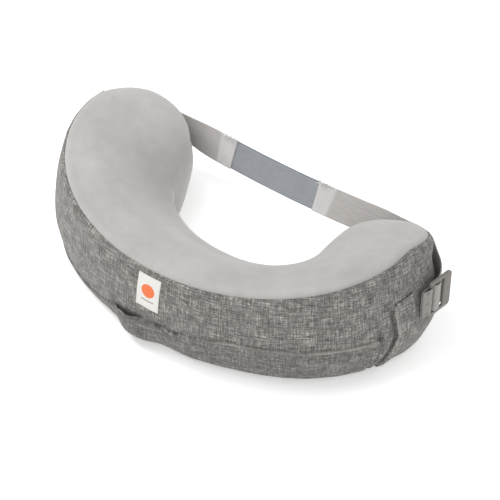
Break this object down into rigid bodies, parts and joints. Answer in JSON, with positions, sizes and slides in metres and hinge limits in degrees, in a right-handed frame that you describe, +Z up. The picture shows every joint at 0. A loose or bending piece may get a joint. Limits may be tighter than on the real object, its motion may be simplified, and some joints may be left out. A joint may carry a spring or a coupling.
{
  "type": "nursing pillow",
  "caption": "Crescent nursing pillow: firm foam core in a plush and tweed cover, with belt wings, ladder-lock adjusters and a partly elastic waist strap across the opening.",
  "frame": {"origin": "middle of the footprint box, on the flat base", "axes": "+Z up; +Y towards the opening and the waist strap; +X towards the right-hand lobe, along the longest side"},
  "size_m": [0.6266, 0.3432, 0.175],
  "materials": {
    "foam": "moulded polyurethane foam",
    "plush": "short brushed plush knit",
    "tweed": "slubbed two-tone tweed weave",
    "base_fabric": "plain dark weave",
    "zipper_tape": "woven tape",
    "zipper_chain": "nylon coil",
    "zipper_metal": "enamelled zinc",
    "label": "woven satin label with a plain orange disc",
    "thread": "polyester thread",
    "elastic": "ribbed elastic webbing",
    "buckle": "satin moulded acetal",
    "webbing": "flat woven webbing"
  },
  "bodies": {
    "pillow": {"base_panel": "base_fabric", "belt_band": "tweed", "care_tag": "label", "elastic_insert": "elastic", "foam_core": "foam", "front_label": "label", "front_label_thread": "thread", "left_anchor_tacks": "thread", "left_anchor_web": "webbing", "left_join_thread": "thread", "left_web": "webbing", "left_web_lead": "webbing", "left_wing": "tweed", "right_anchor_tacks": "thread", "right_anchor_web": "webbing", "right_join_thread": "thread", "right_web": "webbing", "right_web_lead": "webbing", "right_wing": "tweed", "side_panel": "tweed", "top_panel": "plush", "zipper_coil_front": "zipper_chain", "zipper_coil_rear": "zipper_chain", "zipper_stops": "zipper_chain", "zipper_tape_front": "zipper_tape", "zipper_tape_rear": "zipper_tape"},
    "right_adjuster": {"right_ladder_lock": "buckle", "right_web_wrap": "webbing"},
    "left_adjuster": {"left_ladder_lock": "buckle", "left_web_wrap": "webbing"},
    "zip_slider": {"zipper_slider": "zipper_metal"},
    "zip_pull": {"zipper_pull": "zipper_metal"}
  },
  "joints": [
    {"name": "right_adjuster_tilt", "type": "hinge", "parent": "pillow", "child": "right_adjuster", "pos_m": [0.3085, 0.06605, 0.097], "axis": [0, 0, -1], "range_deg": [0, 28], "deforming": ["right_web_lead"]},
    {"name": "left_adjuster_tilt", "type": "hinge", "parent": "pillow", "child": "left_adjuster", "pos_m": [-0.3085, 0.06605, 0.097], "axis": [0, 0, 1], "range_deg": [0, 28], "deforming": ["left_web_lead"]},
    {"name": "zipper_travel", "type": "hinge", "parent": "pillow", "child": "zip_slider", "pos_m": [0, 0.22265, 0.005], "axis": [0, 0, 1], "range_deg": [0, 68]},
    {"name": "zipper_pull_flip", "type": "hinge", "parent": "zip_slider", "child": "zip_pull", "pos_m": [-0.17313, -0.03402, 0.0015], "axis": [0.5592, 0.829, 0], "range_deg": [0, 150]}
  ]
}
